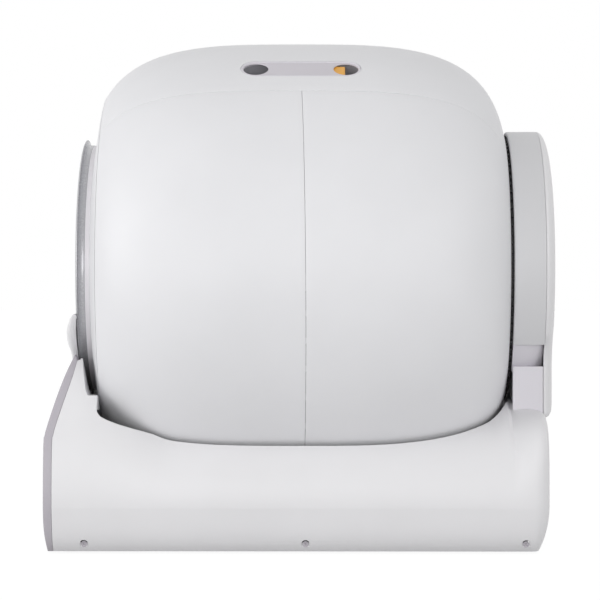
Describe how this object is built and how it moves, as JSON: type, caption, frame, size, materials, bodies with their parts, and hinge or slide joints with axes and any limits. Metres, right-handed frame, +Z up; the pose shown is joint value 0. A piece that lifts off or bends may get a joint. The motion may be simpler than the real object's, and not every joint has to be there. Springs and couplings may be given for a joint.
{
  "type": "self_cleaning_litter_box",
  "caption": "Self cleaning litter box: a white barrel drum with a round side entry turns on rollers in a low base over a waste drawer, driven by a gear in a rear tower.",
  "frame": {"origin": "centre of the bounding box in X and Y, at the floor", "axes": "+Z up, -X towards the round entry, +X towards the drive tower, -Y the side that the picture shows"},
  "size_m": [0.53, 0.487, 0.5405],
  "materials": {
    "white_shell": "satin moulded white",
    "white_inner": "plain moulded white",
    "lilac_trim": "fine matt grey with a cool tint",
    "pale_grey": "plain pale grey",
    "silver_ring": "silver grey, glossy",
    "gear_plastic": "natural acetal",
    "dark_plastic": "dark grey, fine grain",
    "dark_lens": "smoked, glossy",
    "orange_latch": "amber, satin",
    "steel": "plain zinc-coated",
    "rubber": "matt black",
    "charcoal": "carbon felt",
    "board_green": "coated board"
  },
  "bodies": {
    "base": {"base_tub": "white_shell", "back_cover": "white_shell", "entry_step": "white_shell", "front_fascia": "lilac_trim", "tower_shell": "pale_grey", "arch_cover": "pale_grey", "base_pan": "dark_plastic", "gearbox": "dark_plastic", "bracket_front_far": "dark_plastic", "bracket_front_near": "dark_plastic", "bracket_rear_far": "dark_plastic", "bracket_rear_near": "dark_plastic", "power_inlet": "dark_plastic", "display_lens": "dark_lens", "presence_sensor": "dark_lens", "axle_front_far": "steel", "axle_front_near": "steel", "axle_rear_far": "steel", "axle_rear_near": "steel", "motor": "steel", "motor_bracket": "steel", "side_screw_near_1": "steel", "side_screw_near_2": "steel", "side_screw_near_3": "steel", "side_screw_far_1": "steel", "side_screw_far_2": "steel", "side_screw_far_3": "steel", "foot_1": "rubber", "foot_2": "rubber", "foot_3": "rubber", "foot_4": "rubber", "main_board": "board_green"},
    "drum": {"drum_front_shell": "white_shell", "drum_rear_shell": "white_shell", "front_cap": "white_shell", "entry_ring": "silver_ring", "ring_gear": "gear_plastic", "rear_plate": "white_inner", "sifting_screen": "dark_plastic", "litter_liner": "rubber", "cover_hinge_1": "steel", "cover_hinge_2": "steel"},
    "cover": {"top_cover": "white_shell", "handle_cup": "lilac_trim"},
    "latch": {"cover_latch": "orange_latch"},
    "shutter": {"waste_shutter": "lilac_trim"},
    "pinion": {"pinion": "steel"},
    "roller_front_near": {"roller_front_near": "rubber"},
    "roller_front_far": {"roller_front_far": "rubber"},
    "roller_rear_near": {"roller_rear_near": "rubber"},
    "roller_rear_far": {"roller_rear_far": "rubber"},
    "drawer": {"drawer_tray": "white_inner", "drawer_front": "white_shell", "bag_frame": "lilac_trim", "odour_filter": "charcoal"},
    "button_1": {"button_1": "white_shell"},
    "button_2": {"button_2": "white_shell"},
    "button_3": {"button_3": "white_shell"}
  },
  "joints": [
    {"name": "drum_spin", "type": "hinge", "parent": "base", "child": "drum", "pos_m": [-0.005, 0, 0.297], "axis": [1, 0, 0], "continuous": true},
    {"name": "cover_hinge", "type": "hinge", "parent": "drum", "child": "cover", "pos_m": [-0.005, 0.16336, 0.47784], "axis": [1, 0, 0], "range_deg": [-105, 0]},
    {"name": "latch_slide", "type": "slide", "parent": "cover", "child": "latch", "axis": [1, 0, 0], "range_m": [-0.006, 0], "stiffness_N_per_m": 150},
    {"name": "shutter_turn", "type": "hinge", "parent": "drum", "child": "shutter", "pos_m": [-0.005, 0, 0.297], "axis": [1, 0, 0], "range_deg": [0, 40]},
    {"name": "pinion_spin", "type": "hinge", "parent": "base", "child": "pinion", "pos_m": [0.2214, 0, 0.209], "axis": [1, 0, 0], "continuous": true},
    {"name": "roller_front_near_spin", "type": "hinge", "parent": "base", "child": "roller_front_near", "pos_m": [-0.105, -0.14127, 0.07946], "axis": [1, 0, 0], "continuous": true},
    {"name": "roller_front_far_spin", "type": "hinge", "parent": "base", "child": "roller_front_far", "pos_m": [-0.105, 0.14127, 0.07946], "axis": [1, 0, 0], "continuous": true},
    {"name": "roller_rear_near_spin", "type": "hinge", "parent": "base", "child": "roller_rear_near", "pos_m": [0.095, -0.14127, 0.07946], "axis": [1, 0, 0], "continuous": true},
    {"name": "roller_rear_far_spin", "type": "hinge", "parent": "base", "child": "roller_rear_far", "pos_m": [0.095, 0.14127, 0.07946], "axis": [1, 0, 0], "continuous": true},
    {"name": "drawer_slide", "type": "slide", "parent": "base", "child": "drawer", "axis": [-1, 0, 0], "range_m": [0, 0.3]},
    {"name": "button_1_press", "type": "slide", "parent": "base", "child": "button_1", "axis": [1, 0, 0], "range_m": [0, 0.0012], "stiffness_N_per_m": 400},
    {"name": "button_2_press", "type": "slide", "parent": "base", "child": "button_2", "axis": [1, 0, 0], "range_m": [0, 0.0012], "stiffness_N_per_m": 400},
    {"name": "button_3_press", "type": "slide", "parent": "base", "child": "button_3", "axis": [1, 0, 0], "range_m": [0, 0.0012], "stiffness_N_per_m": 400}
  ],
  "couplings": [
    {"joint": "pinion_spin", "follows": "drum_spin", "ratio": 5.4},
    {"joint": "roller_front_near_spin", "follows": "drum_spin", "ratio": -13.41},
    {"joint": "roller_front_far_spin", "follows": "drum_spin", "ratio": -13.41},
    {"joint": "roller_rear_near_spin", "follows": "drum_spin", "ratio": -13.41},
    {"joint": "roller_rear_far_spin", "follows": "drum_spin", "ratio": -13.41}
  ]
}
